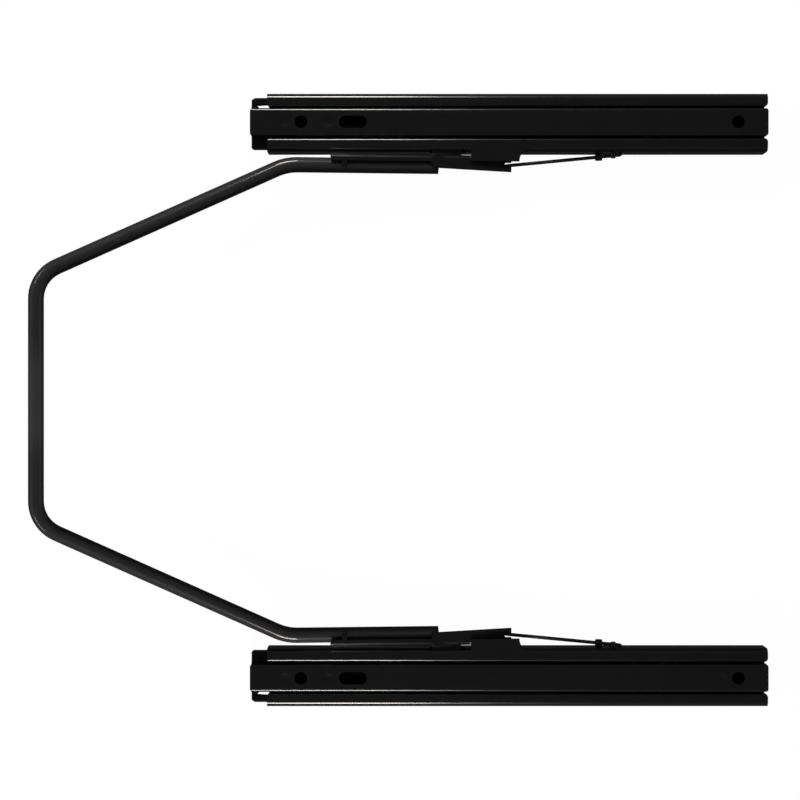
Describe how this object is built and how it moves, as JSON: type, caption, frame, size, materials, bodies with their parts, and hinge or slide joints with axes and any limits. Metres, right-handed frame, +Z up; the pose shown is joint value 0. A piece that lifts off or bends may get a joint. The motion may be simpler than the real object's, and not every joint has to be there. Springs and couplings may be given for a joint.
{
  "type": "seat slide rail pair",
  "caption": "Pair of black steel seat slide rails with seat rails on balls and rollers, joined by a bent release bar that lifts the lock combs.",
  "frame": {"origin": "centre of the four floor bolts, on the surface the floor rails stand on", "axes": "+X along the rails towards the rear, with the release bar at -X; +Y across towards the right-hand rail; +Z up"},
  "size_m": [0.5227, 0.4384, 0.0587],
  "materials": {
    "black_paint": "semi-gloss black",
    "bar_paint": "satin black",
    "bearing_steel": "ground",
    "plain_steel": "black phosphate",
    "spring_wire": "oiled spring wire",
    "nylon": "natural nylon",
    "stop_rubber": "matte"
  },
  "bodies": {
    "floor_rails": {"lower_rail_right": "black_paint", "lower_rail_left": "black_paint", "stop_bumper_right": "stop_rubber", "stop_bumper_left": "stop_rubber", "stop_stud_right": "plain_steel", "stop_stud_left": "plain_steel", "pivot_rivet_right": "plain_steel", "pivot_rivet_left": "plain_steel", "pivot_washer_right": "nylon", "pivot_washer_left": "nylon", "return_spring_right": "spring_wire", "return_spring_left": "spring_wire", "spring_peg_right": "black_paint", "spring_peg_left": "black_paint", "spring_end_peg_right": "black_paint", "spring_end_peg_left": "black_paint"},
    "release_handle": {"release_bar": "bar_paint", "release_lever_right": "black_paint", "release_lever_left": "black_paint", "lock_comb_right": "plain_steel", "lock_comb_left": "plain_steel"},
    "seat_rail_right": {"upper_rail_right": "black_paint", "stop_pins_right": "plain_steel"},
    "bearings_right": {"balls_right": "bearing_steel", "ball_cages_right": "nylon", "rollers_right": "bearing_steel", "roller_cages_right": "nylon"},
    "seat_rail_left": {"upper_rail_left": "black_paint", "stop_pins_left": "plain_steel"},
    "bearings_left": {"balls_left": "bearing_steel", "ball_cages_left": "nylon", "rollers_left": "bearing_steel", "roller_cages_left": "nylon"}
  },
  "joints": [
    {"name": "release_lift", "type": "hinge", "parent": "floor_rails", "child": "release_handle", "pos_m": [-0.0174, 0, 0.0133], "axis": [0, 1, 0], "range_deg": [-5.3, 1], "stiffness_Nm_per_rad": 3, "springref_deg": -20.05, "deforming": ["return_spring_right", "return_spring_left"]},
    {"name": "seat_slide_right", "type": "slide", "parent": "floor_rails", "child": "seat_rail_right", "axis": [1, 0, 0], "range_m": [-0.08, 0.08]},
    {"name": "bearing_roll_right", "type": "slide", "parent": "floor_rails", "child": "bearings_right", "axis": [1, 0, 0], "range_m": [-0.04, 0.04]},
    {"name": "seat_slide_left", "type": "slide", "parent": "floor_rails", "child": "seat_rail_left", "axis": [1, 0, 0], "range_m": [-0.08, 0.08]},
    {"name": "bearing_roll_left", "type": "slide", "parent": "floor_rails", "child": "bearings_left", "axis": [1, 0, 0], "range_m": [-0.04, 0.04]}
  ],
  "couplings": [
    {"joint": "bearing_roll_right", "follows": "seat_slide_right", "ratio": 0.5},
    {"joint": "bearing_roll_left", "follows": "seat_slide_left", "ratio": 0.5}
  ]
}
